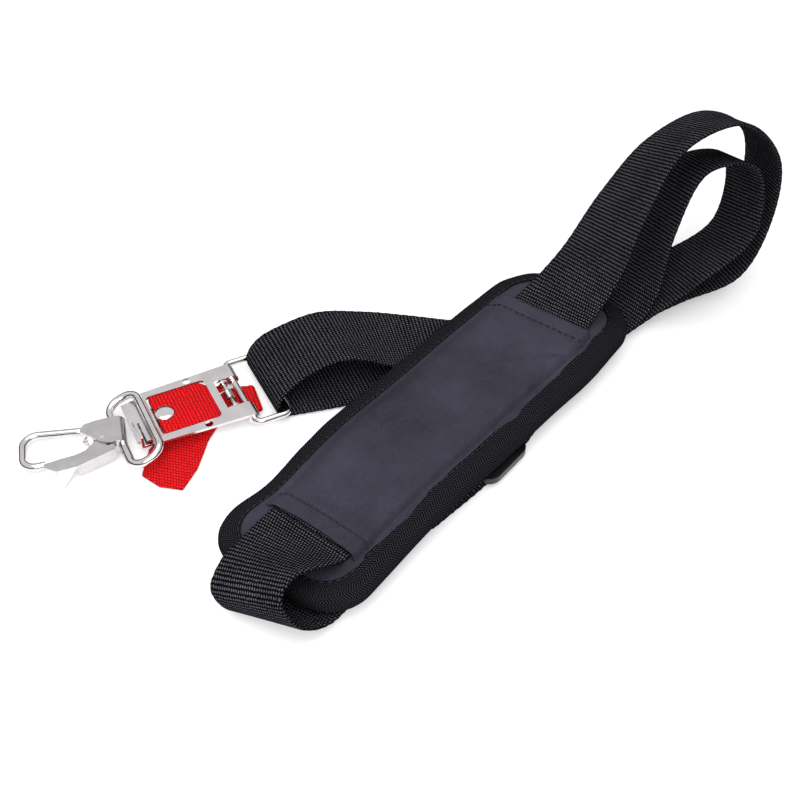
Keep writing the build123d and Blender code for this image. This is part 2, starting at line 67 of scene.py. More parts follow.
INNER_LOOP = [
    ((-50, -38.2, 1), (-0.08, -1, 0)),
    ((-25, -40.6, 1), (-0.04, -1, 0)),
    ((-15, -41, 1.1), (0, -1, 0)),
    ((-12, -41, 3.4), (0, -1, 0)),
    ((-9, -41, 5.8), (0, -1, 0)),
    ((-4, -41, 5.8), (0, -1, 0)),
    ((0.5, -41, 3.4), (0, -1, 0)),
    ((4, -41, 1.2), (0, -1, 0)),
    ((12, -40.5, 1), (0.03, -1, 0)),
    ((22, -39.7, 2.7), (0.03, -1, 0)),
    ((34, -38.9, 4.9), (0, -1, 0)),
    ((52, -38, 5.2), (0, -1, 0)),
    ((76, -38, 5.3), (-0.10, -0.99, 0)),
    ((99, -40, 5.1), (-0.20, -0.98, 0)),
    ((109, -42.5, 7.4), (-0.24, -0.97, 0.02)),
    ((120, -45, 16), (-0.30, -0.94, 0.13)),
    ((136, -46, 41), (-0.55, -0.79, 0.28)),
    ((154, -51, 65.5), (-0.62, -0.70, 0.34)),
    ((171, -67, 64.5), (-0.62, -0.70, 0.35)),
    ((163, -74, 36), (-0.55, -0.76, 0.35)),
    ((138, -61.5, 20), (-0.53, -0.81, 0.22)),
    ((118.5, -45, 6.2), (-0.43, -0.89, 0.02)),
    ((96, -38.5, 3.1), (-0.42, -0.90, 0)),
    ((72, -32, 2.8), (-0.46, -0.88, 0)),
    ((58, -20, 2.8), (-0.60, -0.80, 0)),
]
LOWER_FOLD = [
    ((-94, -31, 19.2), (0, -1, 0)),
    ((-97, -31, 19.4), (0, -1, 0)),
    ((-109, -32, 24), (0.02, -0.98, 0.19)),
    ((-123, -32, 27), (0.06, -0.92, 0.38)),
    ((-132.5, -34.5, 23.5), (0.06, -0.88, 0.44)),
    ((-129, -39, 10), (0.06, -0.90, 0.38)),
    ((-116.5, -38.6, 3.9), (0.08, -0.98, 0.12)),
    ((-98, -37.2, 2.7), (0.02, -1, 0)),
    ((-70, -36.8, 2.7), (0.03, -1, 0)),
    ((-45, -38.6, 2.7), (-0.08, -1, 0)),
    ((-20.5, -41, 2.6), (0, -1, 0)),
    ((-17.2, -41, 2.75), (0, -1, 0)),
    ((-16.5, -41, 4.2), (0, -1, 0)),
    ((-17.2, -41, 5.65), (0, -1, 0)),
    ((-20.5, -41, 5.85), (0, -1, 0)),
    ((-44, -38.5, 5.85), (-0.08, -1, 0)),
]
RING_UPPER = [
    ((58, -20, 2.8), (-0.60, -0.80, 0)),
    ((44, -3, 3.2), (-0.68, -0.73, 0)),
    ((28, 15, 5.6), (-0.62, -0.77, -0.14)),
    ((14, 26, 13.2), (-0.55, -0.83, -0.03)),
    ((-4, 37, 20.4), (-0.50, -0.86, 0.05)),
    ((-20, 45.5, 17.5), (-0.48, -0.88, 0.02)),
]
RING_LOWER = [
    ((-20.6, 40.8, 1.3), (-0.47, -0.88, 0)),
    ((-4.8, 29.6, 1), (-0.50, -0.87, 0)),
    ((27.3, 9, 1), (-0.50, -0.87, 0)),
    ((60, -7, 1), (-0.48, -0.88, 0)),
]

SLEEVE_RUN = [
    ((-94, -31, 19.2), (0, -1, 0)),
    ((-84, -30.8, 18.7), (0, -1, 0)),
    ((-72, -30, 18.2), (0, -1, 0)),
    ((48, -30, 18.2), (0, -1, 0)),
    ((60, -30.8, 18.7), (0, -1, 0)),
    ((70, -31, 19.2), (0, -1, 0)),
]

# The loose turn round the strap ring's bar, in the hardware frame.
BAR_TURN = [(-4.0, -1.6, 15.4), (1.2, -0.8, 12.4), (4.0, 0.0, 8.9), (4.4, 0.0, 6.0), (3.8, 0.0, 3.4),
            (2.0, 0.0, 1.7), (-1.5, 0.0, 1.15)]

# Hardware frame: origin on the strap ring's webbing bar, +X out to the hook.
HEADING = math.radians(154.5)
HARDWARE = Vector((-30.8, 48.2, 0.0))


def hardware_point(x, y, z):
    c, s = math.cos(HEADING), math.sin(HEADING)
    return Vector((HARDWARE.x + x * c - y * s, HARDWARE.y + x * s + y * c, z))


def row(p):
    """Layout millimetres to row-frame metres."""
    return (Vector(p) + ORIGIN) * MM


# ---------------------------------------------------------------- materials

def new_material(name):
    m = bpy.data.materials.new(name)
    m.use_nodes = True
    tree = m.node_tree
    shader = tree.nodes["Principled BSDF"]
    return m, tree, shader


def math_node(tree, kind, a, b=None):
    n = tree.nodes.new("ShaderNodeMath")
    n.operation = kind
    for socket, value in zip(n.inputs, (a, b)):
        if value is None:
            continue
        if isinstance(value, (int, float)):
            socket.default_value = value
        else:
            tree.links.new(value, socket)
    return n.outputs[0]


def times(tree, a, b):
    return math_node(tree, "MULTIPLY", a, b)


def plus(tree, a, b):
    return math_node(tree, "ADD", a, b)


def scaled(tree, value, gain, offset):
    return plus(tree, times(tree, value, gain), offset)


def power(tree, value, exponent):
    return math_node(tree, "POWER", value, exponent)


def humps(tree, value, rate):
    """A row of round humps: the absolute sine of value times rate."""
    return math_node(tree, "ABSOLUTE", math_node(tree, "SINE", times(tree, value, rate)))


def noise_node(tree, vector, scale, detail=2.0, rough=0.5):
    n = tree.nodes.new("ShaderNodeTexNoise")
    n.inputs["Scale"].default_value = scale
    n.inputs["Detail"].default_value = detail
    n.inputs["Roughness"].default_value = rough
    tree.links.new(vector, n.inputs["Vector"])
    return n.outputs[0]


def wobble(tree, vector, scale, size):
    """A small offset that wanders either side of nothing."""
    return times(tree, math_node(tree, "SUBTRACT", noise_node(tree, vector, scale), 0.5), size)


def object_vector(tree):
    return tree.nodes.new("ShaderNodeTexCoord").outputs["Object"]


def uv_axes(tree):
    """The custom UV map as two separate values, both in millimetres."""
    n = tree.nodes.new("ShaderNodeUVMap")
    n.uv_map = "cloth"
    split = tree.nodes.new("ShaderNodeSeparateXYZ")
    tree.links.new(n.outputs[0], split.inputs[0])
    return n.outputs[0], split.outputs[0], split.outputs[1]


def ramp(tree, fac, stops):
    n = tree.nodes.new("ShaderNodeValToRGB")
    tree.links.new(fac, n.inputs[0])
    el = n.color_ramp.elements
    while len(el) < len(stops):
        el.new(0.5)
    for e, (p, c) in zip(el, stops):
        e.position = p
        e.color = (*c, 1.0)
    return n.outputs[0]


def mix_colour(tree, fac, a, b):
    """A mix of two fixed colours."""
    n = tree.nodes.new("ShaderNodeMix")
    n.data_type = "RGBA"
    tree.links.new(fac, n.inputs[0])
    n.inputs[6].default_value = (*a, 1.0)
    n.inputs[7].default_value = (*b, 1.0)
    return n.outputs[2]


def add_bump(tree, shader, height, strength, distance):
    n = tree.nodes.new("ShaderNodeBump")
    n.inputs["Strength"].default_value = strength
    n.inputs["Distance"].default_value = distance
    tree.links.new(height, n.inputs["Height"])
    tree.links.new(n.outputs[0], shader.inputs["Normal"])


def woven(name, dark, light, pitch, roughness, gloss, spread, sharp):
    """Flat webbing: rows of short yarn floats across, each row half a float on from the last.
    Its colour paints light and shade on the weave: lighter on each float's top, darker in the
    gaps between floats.

    pitch is one float's size across and along in mm, spread is how much the tone varies in
    patches and sharp is how fast the painted light falls off between floats.
    """
    m, tree, shader = new_material(name)
    uv, across, along = uv_axes(tree)
    wander = wobble(tree, uv, 0.35, 0.9)
    u = math_node(tree, "DIVIDE", plus(tree, across, wander), pitch[0])
    v = math_node(tree, "DIVIDE", plus(tree, along, wander), pitch[1])
    step = times(tree, math_node(tree, "FLOOR", v), 0.5)
    hump_along = humps(tree, v, math.pi)
    hump_across = humps(tree, plus(tree, u, step), math.pi)
    bead = times(tree, power(tree, hump_across, 0.6), power(tree, hump_along, 0.55))
    fibre = noise_node(tree, uv, 5.0, 3.0, 0.7)
    patch = noise_node(tree, uv, 0.06, 2.0)
    # Painted light and shade of the weave: bright on the floats' tops, dark between them, varied by
    # random patches and fibres.
    tone = times(tree, power(tree, bead, sharp), scaled(tree, patch, spread * 2, 1 - spread))
    tone = times(tree, tone, scaled(tree, fibre, 0.8, 0.6))
    tone = times(tree, tone, scaled(tree, noise_node(tree, uv, 1.1, 1.0), 1.5, 0.2))
    tree.links.new(mix_colour(tree, tone, dark, light), shader.inputs["Base Color"])
    rough = math_node(tree, "SUBTRACT", roughness + 0.15, times(tree, bead, 0.2))
    tree.links.new(rough, shader.inputs["Roughness"])
    shader.inputs["Specular IOR Level"].default_value = gloss
    add_bump(tree, shader, plus(tree, bead, times(tree, fibre, 0.22)), 1.0, 0.00035)
    return m


def herringbone(name, dark, light):
    """Narrow binding tape: ribs that change slant every few millimetres across, with a painted
    highlight on each rib's crest.
    """
    m, tree, shader = new_material(name)
    uv, across, along = uv_axes(tree)
    fold = math_node(tree, "PINGPONG", plus(tree, across, wobble(tree, uv, 0.5, 0.5)), 2.3)
    slant = plus(tree, times(tree, fold, 0.9), along)
    rib = humps(tree, slant, math.pi / 1.25)
    yarn = humps(tree, across, math.pi / 0.75)
    bead = times(tree, power(tree, rib, 0.7), scaled(tree, yarn, 0.45, 0.55))
    fibre = noise_node(tree, uv, 6.0, 2.0, 0.7)
    # Painted highlight on the rib crests over the black yarn.
    tone = times(tree, power(tree, bead, 3.6), scaled(tree, fibre, 0.9, 0.5))
    tree.links.new(mix_colour(tree, tone, dark, light), shader.inputs["Base Color"])
    shader.inputs["Roughness"].default_value = 0.72
    shader.inputs["Specular IOR Level"].default_value = 0.0
    add_bump(tree, shader, plus(tree, bead, times(tree, fibre, 0.2)), 0.9, 0.0003)
    return m


def nylon(name, dark, light, roughness=0.6):
    """Fine plain-weave nylon with a faint crosshatch and soft creases."""
    m, tree, shader = new_material(name)
    place = object_vector(tree)
    split = tree.nodes.new("ShaderNodeSeparateXYZ")
    tree.links.new(place, split.inputs[0])
    warp_yarn = humps(tree, split.outputs[0], NYLON_WEAVE)
    weft_yarn = humps(tree, split.outputs[1], NYLON_WEAVE)
    weave = times(tree, warp_yarn, weft_yarn)
    big = noise_node(tree, place, 22.0, 4.0, 0.6)
    fine = noise_node(tree, place, 900.0, 3.0, 0.7)
    crease = noise_node(tree, place, 60.0, 3.0, 0.55)
    tone = plus(tree, times(tree, big, 0.7), times(tree, fine, 0.3))
    tone = plus(tree, tone, times(tree, weave, 0.2))
    tree.links.new(ramp(tree, tone, [(0.3, dark), (0.75, light)]), shader.inputs["Base Color"])
    shader.inputs["Roughness"].default_value = roughness
    shader.inputs["Specular IOR Level"].default_value = 0.1
    height = plus(tree, times(tree, weave, 0.12), crease)
    height = plus(tree, height, times(tree, fine, 0.12))
    add_bump(tree, shader, height, 0.5, 0.0008)
    return m


def nickel(name, colour, roughness, scratch, dent):
    """Bright plated metal with hairline scratches, dull patches and a trace of waviness."""
    m, tree, shader = new_material(name)
    place = object_vector(tree)
    stretch = tree.nodes.new("ShaderNodeMapping")
    stretch.inputs["Scale"].default_value = (60.0, 1200.0, 60.0)
    stretch.inputs["Rotation"].default_value = (0.0, 0.0, 0.45)
    tree.links.new(place, stretch.inputs[0])
    hair = noise_node(tree, stretch.outputs[0], 1.0, 2.0, 0.6)
    cloud = noise_node(tree, place, 90.0, 3.0, 0.6)
    grain = noise_node(tree, place, 1400.0, 2.0, 0.6)
    wave = noise_node(tree, place, 130.0, 1.0, 0.4)
    dark = tuple(c * 0.86 for c in colour)
    tree.links.new(ramp(tree, cloud, [(0.3, dark), (0.6, colour)]), shader.inputs["Base Color"])
    rough = scaled(tree, cloud, roughness * 0.8, roughness * 0.5)
    rough = plus(tree, rough, times(tree, power(tree, hair, 4.0), scratch))
    tree.links.new(rough, shader.inputs["Roughness"])
    shader.inputs["Metallic"].default_value = 1.0
    height = plus(tree, times(tree, hair, 0.35), times(tree, grain, 0.12))
    height = plus(tree, height, times(tree, wave, dent))
    add_bump(tree, shader, height, 0.35, 0.00012)
    return m


def moulded(name, colour):
    """Satin moulded plastic with a spark-eroded grain."""
    m, tree, shader = new_material(name)
    place = object_vector(tree)
    grain = noise_node(tree, place, 1500.0, 3.0, 0.6)
    cloud = noise_node(tree, place, 70.0, 2.0)
    lighter = tuple(c * 1.8 for c in colour)
    tree.links.new(ramp(tree, cloud, [(0.35, colour), (0.7, lighter)]), shader.inputs["Base Color"])
    tree.links.new(scaled(tree, cloud, 0.15, 0.32), shader.inputs["Roughness"])
    add_bump(tree, shader, grain, 0.25, 0.0002)
    return m


def thread(name, colour):
    """Twisted sewing thread."""
    m, tree, shader = new_material(name)
    place = object_vector(tree)
    twist = noise_node(tree, place, 2500.0, 2.0)
    lighter = tuple(min(1.0, c * 2.2) for c in colour)
    tree.links.new(ramp(tree, twist, [(0.35, colour), (0.7, lighter)]), shader.inputs["Base Color"])
    shader.inputs["Roughness"].default_value = 0.55
    add_bump(tree, shader, twist, 0.5, 0.0002)
    return m


BLACK_YARN = (0.0010, 0.0010, 0.0016)

# The black webbing's light colour is a painted glint on each float's top; the material itself has no
# gloss.
BLACK_WEB = woven("webbing black", BLACK_YARN, (0.125, 0.121, 0.142), pitch=(1.25, 1.65),
                  roughness=0.7, gloss=0.0, spread=0.45, sharp=4.6)
# The red webbing's dark red is painted shade in the gaps between floats.
RED_WEB = woven("webbing red", (0.26, 0.001, 0.002), (0.90, 0.016, 0.020), pitch=(1.25, 1.5),
                roughness=0.6, gloss=0.06, spread=0.1, sharp=1.3)
# The binding's light colour is a painted highlight on its rib crests; the tape itself has no gloss.
BINDING = herringbone("binding tape", BLACK_YARN, (0.046, 0.0445, 0.053))
FACE = nylon("pad face nylon", (0.0085, 0.0083, 0.0138), (0.046, 0.0443, 0.0635))
MESH_BACK = nylon("pad back knit", (0.010, 0.010, 0.012), (0.018, 0.018, 0.021), 0.8)
WIRE = nickel("nickel wire", (0.76, 0.735, 0.725), 0.06, 0.12, 0.1)
SHEET = nickel("nickel sheet", (0.75, 0.715, 0.725), 0.22, 0.2, 0.05)
# Painted shade: the hook body and gate are the same sheet nickel, coloured darker for the light they
# reflect less of.
SHADED_HOOK_SHEET = nickel("hook nickel painted shade", (0.64, 0.615, 0.625), 0.15, 0.2, 0.15)
POLISHED = nickel("nickel polished", (0.78, 0.755, 0.745), 0.06, 0.1, 0.1)
SPRING = nickel("spring wire", (0.66, 0.64, 0.62), 0.16, 0.3, 0.2)
PLASTIC = moulded("buckle plastic", (0.004, 0.004, 0.005))
THREAD = thread("stitch thread", (0.004, 0.004, 0.005))


# ---------------------------------------------------------------- mesh helpers

def make_object(name, verts, faces, material, uvs=None):
    mesh = bpy.data.meshes.new(name)
    mesh.from_pydata([tuple(v) for v in verts], [], faces)
    mesh.update()
    if uvs is not None:
        layer = mesh.uv_layers.new(name="cloth")
        for loop in mesh.loops:
            layer.data[loop.index].uv = uvs[loop.vertex_index]
    mesh.materials.append(material)
    o = bpy.data.objects.new(name, mesh)
    bpy.context.scene.collection.objects.link(o)
    shade_smooth(o)
    return o


def make_solid(name, verts, faces, material, uvs=None):
    """A closed mesh with its faces turned outwards."""
    o = make_object(name, verts, faces, material, uvs)
    fix_normals(o)
    return o


def shade_smooth(o):
    for p in o.data.polygons:
        p.use_smooth = True


def fix_normals(o):
    bm = bmesh.new()
    bm.from_mesh(o.data)
    bmesh.ops.recalc_face_normals(bm, faces=bm.faces)
    bm.to_mesh(o.data)
    bm.free()


def apply_modifier(o, name):
    dg = bpy.context.evaluated_depsgraph_get()
    new = bpy.data.meshes.new_from_object(o.evaluated_get(dg))
    o.modifiers.remove(o.modifiers[name])
    old = o.data
    o.data = new
    bpy.data.meshes.remove(old)


def thicken(o, thickness, offset):
    s = o.modifiers.new("thick", "SOLIDIFY")
    s.thickness = thickness
    s.offset = offset
    apply_modifier(o, "thick")
    fix_normals(o)


def skin(levels, around, closed=False, base=0):
    """Quads between successive rings of points, and from the last to the first if closed."""
    faces = []
    for i in range(levels if closed else levels - 1):
        low = base + i * around
        high = base + (i + 1) % levels * around
        for j in range(around):
            k = (j + 1) % around
            faces.append((low + j, low + k, high + k, high + j))
    return faces


def caps(levels, around, base=0):
    """The two end faces of a stack of rings."""
    first = tuple(base + j for j in reversed(range(around)))
    last = tuple(base + (levels - 1) * around + j for j in range(around))
    return [first, last]


def clamp(t):
    return min(max(t, 0.0), 1.0)


def smooth_step(t):
    t = clamp(t)
    return t * t * (3 - 2 * t)


def arc_lengths(points):
    arc = [0.0]
    for a, b in zip(points, points[1:]):
        arc.append(arc[-1] + (b - a).length)
    return arc


def catmull(p0, p1, p2, p3, share):
    """Centripetal Catmull-Rom point between p1 and p2, each a 6-vector."""
    t = [0.0]
    for a, b in ((p0, p1), (p1, p2), (p2, p3)):
        t.append(t[-1] + math.dist(a[:3], b[:3]) ** 0.5)
    x = t[1] + (t[2] - t[1]) * share

    def mix(a, b, ta, tb):
        k = (x - ta) / (tb - ta)
        return [i + (j - i) * k for i, j in zip(a, b)]

    a1 = mix(p0, p1, t[0], t[1])
    a2 = mix(p1, p2, t[1], t[2])
    a3 = mix(p2, p3, t[2], t[3])
    return mix(mix(a1, a2, t[0], t[2]), mix(a2, a3, t[1], t[3]), t[1], t[2])


def smooth_route(stations, step):
    """Closely spaced (centre, across) pairs on a smooth curve through the stations."""
    rows = [list(c) + list(Vector(a).normalized()) for c, a in stations]
    before = [2 * a - b for a, b in zip(rows[0], rows[1])]
    after = [2 * a - b for a, b in zip(rows[-1], rows[-2])]
    rows = [before] + rows + [after]
    result = []
    for p0, p1, p2, p3 in zip(rows, rows[1:], rows[2:], rows[3:]):
        count = max(1, math.ceil(math.dist(p1[:3], p2[:3]) / step))
        result += [catmull(p0, p1, p2, p3, i / count) for i in range(count)]
    result.append(rows[-2])
    return [(Vector(r[:3]), Vector(r[3:]).normalized()) for r in result]


def band(name, stations, material, start_along=0.0, sway=0.0, seed=1.0, width=WEB_WIDTH,
         thick=WEB_THICK, step=WEB_STEP, columns=26):
    """A woven band with rounded, slightly scalloped selvages. UVs are mm across and along."""
    rows = smooth_route(stations, step)
    last = len(rows) - 1
    half = width / 2
    top = []
    for i in range(columns + 1):
        a = -1 + 2 * i / columns
        top.append((a * half, 1.0 if abs(a) < 0.96 else 0.55))
    profile = top + [(a, -h) for a, h in reversed(top)]
    u_values = [a + half + (0 if h > 0 else UNDERSIDE_U) for a, h in profile]
    verts, uvs = [], []
    along = start_along
    for i, (centre, across) in enumerate(rows):
        ahead = rows[min(i + 1, last)][0] - rows[max(i - 1, 0)][0]
        lift = across.cross(ahead.normalized()).normalized()
        if i:
            along += (centre - rows[i - 1][0]).length
        fade = min(1.0, i / 8, (last - i) / 8)
        wave = sway * fade * noise.noise(Vector((along * 0.02, seed, 0.0)))
        scallop = SELVAGE_DEPTH * math.sin(along * math.pi / SELVAGE_PITCH)
        for (a, h), u in zip(profile, u_values):
            scale = 1 + scallop / half * (abs(a) / half) ** 6
            verts.append(row(centre + across * a * scale + lift * (h * thick / 2 + wave)))
            uvs.append((u, along))
    faces = skin(len(rows), len(profile)) + caps(len(rows), len(profile))
    return make_solid(name, verts, faces, material, uvs)


def tube(name, points, radius, material, sides=8):
    """A round wire through points in layout millimetres."""
    verts = []
    normal = None
    for i, p in enumerate(points):
        tangent = (points[min(i + 1, len(points) - 1)] - points[max(i - 1, 0)]).normalized()
        if normal is None:
            normal = tangent.orthogonal().normalized()
        normal = (normal - tangent * normal.dot(tangent)).normalized()
        other = tangent.cross(normal)
        for j in range(sides):
            w = 2 * math.pi * j / sides
            verts.append(row(p + normal * math.cos(w) * radius + other * math.sin(w) * radius))
    faces = skin(len(points), sides) + caps(len(points), sides)
    return make_solid(name, verts, faces, material)


def stitches(name, lines, length, gap, radius, sink):
    """Rows of separate lockstitches along lines of points in layout millimetres."""
    rings, sides = 5, 6
    up = Vector((0, 0, 1))
    verts, faces = [], []
    for line in lines:
        travelled = 0.0
        upcoming = 0.0
        for p0, p1 in zip(line, line[1:]):
            run = (p1 - p0).length
            if run < 1e-6:
                continue
            t = (p1 - p0) / run
            side = up.cross(t).normalized()
            while upcoming < travelled + run:
                mid = p0 + t * (upcoming - travelled) + up * (radius - sink)
                base = len(verts)
                for i in range(rings):
                    k = i / (rings - 1)
                    r = radius * math.sqrt(max(0.12, 1 - (2 * k - 1) ** 2))
                    c = mid + t * (k - 0.5) * length - up * 0.35 * radius * (2 * k - 1) ** 2
                    for j in range(sides):
                        w = 2 * math.pi * j / sides
                        verts.append(row(c + side * math.cos(w) * r + up * math.sin(w) * r))
                faces += skin(rings, sides, base=base) + caps(rings, sides, base)
                upcoming += length + gap
            travelled += run
    return make_solid(name, verts, faces, THREAD)


def soften(o, width, segments=2):
    """A small rounded edge on a crisp CAD piece, so that it catches the light."""
    shade_smooth(o)
    w = o.modifiers.new("weld", "WELD")
    w.merge_threshold = 0.000004
    b = o.modifiers.new("edge", "BEVEL")
    b.width = width
    b.segments = segments
    b.limit_method = "ANGLE"
    b.angle_limit = math.radians(35)
    b.use_clamp_overlap = True
    n = o.modifiers.new("normals", "WEIGHTED_NORMAL")
    n.weight = 100
    n.keep_sharp = False


def dress(node, material):
    o = nodes[node]
    o.data.materials.clear()
    o.data.materials.append(material)
    return o


# ---------------------------------------------------------------- webbing

def bar_turn():
    across = (-math.sin(HEADING), math.cos(HEADING), 0.0)
    return [(hardware_point(*p), across) for p in BAR_TURN]


def route_length(stations):
    return arc_lengths([c for c, _ in smooth_route(stations, WEB_STEP)])[-1]


# Each run: visible piece, CAD node, route, where its weave starts in mm, sway, noise seed.
STRAP_RUNS = [
    ("web_outer_loop", "webbing_outer_loop", OUTER_LOOP, 170.0, 0.5, 3.1),
    ("web_inner_loop", "webbing_inner_loop", INNER_LOOP, 40.0, 0.4, 7.7),
    ("web_lower_fold", "webbing_lower_fold", LOWER_FOLD, 0.0, 0.3, 5.2),
    ("web_ring_run", "webbing_ring_run", RING_UPPER + bar_turn() + RING_LOWER, 300.0, 0.0, 1.0),
    ("web_sleeve_run", "webbing_sleeve", SLEEVE_RUN, 6.0, 0.0, 1.0),
]
for piece, node, stations, start, sway, seed in STRAP_RUNS:
    run = band(piece, stations, BLACK_WEB, start, sway, seed)
    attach(run, "strap")
    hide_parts(node)
    route_length(stations) * MM

# ---------------------------------------------------------------- shoulder pad

PAD_X0, PAD_X1 = -118.0, 101.0
PAD_MID_Y, PAD_HALF, PAD_CORNER = -30.0, 34.0, 21.0
PAD_BOTTOM = 7.0
BINDING_WIDTH = 8.0
SLEEVE_X0, SLEEVE_X1 = -94.0, 70.0
HEM_WIDTH = 8.0
END_BOW = 1.3             # how far the sleeve's ends are bowed in, mm
BOW_REACH = 18.0          # and how far along the sleeve the bow dies out

# Where the sewn edges depart from a straight line: how far out, middle, width, mm.
NEAR_EDGE_BUMPS = [(2.2, -52, 40), (-1.6, 52, 20)]
FAR_EDGE_BUMPS = [(1.7, 25, 50), (1.9, -38, 24), (-2.6, -84, 15), (0.6, -112, 9), (-2.0, 90, 10)]

# Foam slab before it is swelled: distance in from the outline, height, mm.
CORE_LEVELS = [(2.2, 9.2), (1.6, 10.6), (1.6, 14.0), (2.4, 15.6), (5.5, 16.3)]
CLOTH_FRAMES = 20
MOST_SWELL = 0.0022       # metres
TOP_FROM = 0.0135         # metres: the part of the slab above this is shaped as the pad's top
TOP_PLAY = 0.0009         # metres: how far the top may lie below its set height
BACK_BELOW = 0.0095       # metres: faces below this carry the back cloth

# The binding tape's section, outside and inside: distance in from the outline, height, mm.
TAPE_OUTSIDE = [(7.9, 16.2), (7.8, 17.35), (6.6, 17.55), (4.6, 17.5), (2.6, 17.2), (1.1, 16.2),
                (0.35, 14.6), (0.1, 12.6), (0.35, 10.4), (1.1, 8.8), (2.6, 7.6), (5.0, 7.25),
                (7.8, 7.2), (7.9, 8.2)]
TAPE_INSIDE = [(5.5, 8.3), (2.2, 9.0), (1.4, 12.0), (2.2, 15.3), (5.5, 16.1)]


def bump_at(x, mid, width):
    return math.exp(-((x - mid) / width) ** 2)


def side_shares(y):
    """How far y is towards the pad's near and far edges, each from 0 to 1."""
    return clamp((PAD_MID_Y - y) / PAD_HALF), clamp((y - PAD_MID_Y) / PAD_HALF)


def warp(x, y):
    """The sewn pad isn't a perfect oblong: its waist is drawn in and its corners flare."""
    near, far = side_shares(y)
    dy = near * sum(size * bump_at(x, mid, width) for size, mid, width in NEAR_EDGE_BUMPS)
    dy += far * sum(size * bump_at(x, mid, width) for size, mid, width in FAR_EDGE_BUMPS)
    dx = -3.8 * far * clamp((-x - 96) / 18.0)
    return x + dx, y + dy


def wider_near(p, inset):
    """The binding's top shows a little wider along the near side."""
    near, _ = side_shares(p.y)
    return inset + 2.3 * near * near * (inset / BINDING_WIDTH) ** 2


def outline():
    """Points about 3 mm apart round the pad's outline, with closer ones on its corners."""
    r = PAD_CORNER
    x0, x1 = PAD_X0 + r, PAD_X1 - r
    y0, y1 = PAD_MID_Y - PAD_HALF + r, PAD_MID_Y + PAD_HALF - r
    corners = [(x1, y1), (x0, y1), (x0, y0), (x1, y0)]
    pts = []
    for k, (cx, cy) in enumerate(corners):
        for i in range(17):
            a = math.radians(90 * k + 90 * i / 16)
            pts.append(Vector((cx + r * math.cos(a), cy + r * math.sin(a), 0)))
        nx, ny = corners[(k + 1) % 4]
        a = math.radians(90 * k + 90)
        p = pts[-1]
        q = Vector((nx + r * math.cos(a), ny + r * math.sin(a), 0))
        steps = int((q - p).length / 3)
        pts += [p.lerp(q, i / steps) for i in range(1, steps)]
    return pts


PAD_OUTLINE = outline()


def inner_ring(inset):
    """The outline's points moved straight in, one for each point of the outline."""
    x0, x1 = PAD_X0 + PAD_CORNER, PAD_X1 - PAD_CORNER
    y0, y1 = PAD_MID_Y - PAD_HALF + PAD_CORNER, PAD_MID_Y + PAD_HALF - PAD_CORNER
    pts = []
    for p in PAD_OUTLINE:
        c = Vector((min(max(p.x, x0), x1), min(max(p.y, y0), y1), 0))
        q = c + (p - c) * max(0.05, (PAD_CORNER - wider_near(p, inset)) / PAD_CORNER)
        pts.append(Vector((*warp(q.x, q.y), 0)))
    return pts


def pad_height(x, y):
    """Top surface of the pad: flat middle, pressed down where the binding is sewn."""
    rise = 1 - math.exp(-max(corner_distance(x, y) - 6.0, 0) / 4.0)
    return 16.4 + 1.8 * rise + 0.15 * noise.noise(Vector((x * 0.09, y * 0.09, 7.0)))


def corner_distance(x, y):
    """Distance in from the pad's outline."""
    qx = abs(x - (PAD_X0 + PAD_X1) / 2) - ((PAD_X1 - PAD_X0) / 2 - PAD_CORNER)
    qy = abs(y - PAD_MID_Y) - (PAD_HALF - PAD_CORNER)
    outside = math.hypot(max(qx, 0), max(qy, 0))
    return PAD_CORNER - outside - min(max(qx, qy), 0)


def inflate(o):
    """Swell the slab with a short cloth simulation under pressure."""
    c = o.modifiers.new("cloth", "CLOTH")
    s = c.settings
    s.use_pressure = True
    s.uniform_pressure_force = 4.0
    s.effector_weights.gravity = 0.0
    s.tension_stiffness = 25
    s.compression_stiffness = 25
    s.bending_stiffness = 2.0
    c.point_cache.frame_start = 1
    c.point_cache.frame_end = CLOTH_FRAMES
    for f in range(1, CLOTH_FRAMES + 1):
        bpy.context.scene.frame_set(f)
    apply_modifier(o, "cloth")
    bpy.context.scene.frame_set(1)


def settle(o, rest):
    """Limit the swelling and ease the top down to the sewn edge."""
    for v, r0 in zip(o.data.vertices, rest):
        move = v.co - r0
        if move.length > MOST_SWELL:
            move *= MOST_SWELL / move.length
        p = r0 + move
        top = pad_height(p.x / MM - ORIGIN.x, p.y / MM - ORIGIN.y) * MM
        if r0.z > TOP_FROM:
            p.z = max(min(p.z, top), top - TOP_PLAY)
        p.z = max(p.z, (PAD_BOTTOM + 0.9) * MM)
        v.co = p


def pad_core():
    """Cloth-covered foam: a thin slab, swelled, then eased to the pad's edge."""
    rings = [inner_ring(inset) for inset, _ in CORE_LEVELS]
    verts = [row((p.x, p.y, z)) for ring, (_, z) in zip(rings, CORE_LEVELS) for p in ring]
    faces = skin(len(rings), len(PAD_OUTLINE)) + caps(len(rings), len(PAD_OUTLINE))
    o = make_solid("pad_core", verts, faces, FACE)
    r = o.modifiers.new("remesh", "REMESH")
    r.mode = "VOXEL"
    r.voxel_size = 0.004
    apply_modifier(o, "remesh")
    rest = [v.co.copy() for v in o.data.vertices]
    inflate(o)
    settle(o, rest)
    sub = o.modifiers.new("sub", "SUBSURF")
    sub.levels = 1
    sub.render_levels = 1
    apply_modifier(o, "sub")
    shade_smooth(o)
    o.data.materials.clear()
    o.data.materials.append(FACE)
    o.data.materials.append(MESH_BACK)
    for p in o.data.polygons:
        p.material_index = 1 if p.center.z < BACK_BELOW else 0
    return o


core = pad_core()
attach(core, "pad")
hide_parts("pad_foam", "pad_face", "pad_back")


def binding_lump(p):
    """Slow unevenness of the binding's top, which its stitches follow."""
    return 0.45 * noise.noise(Vector((p.x * 0.07, p.y * 0.07, 3.0)))


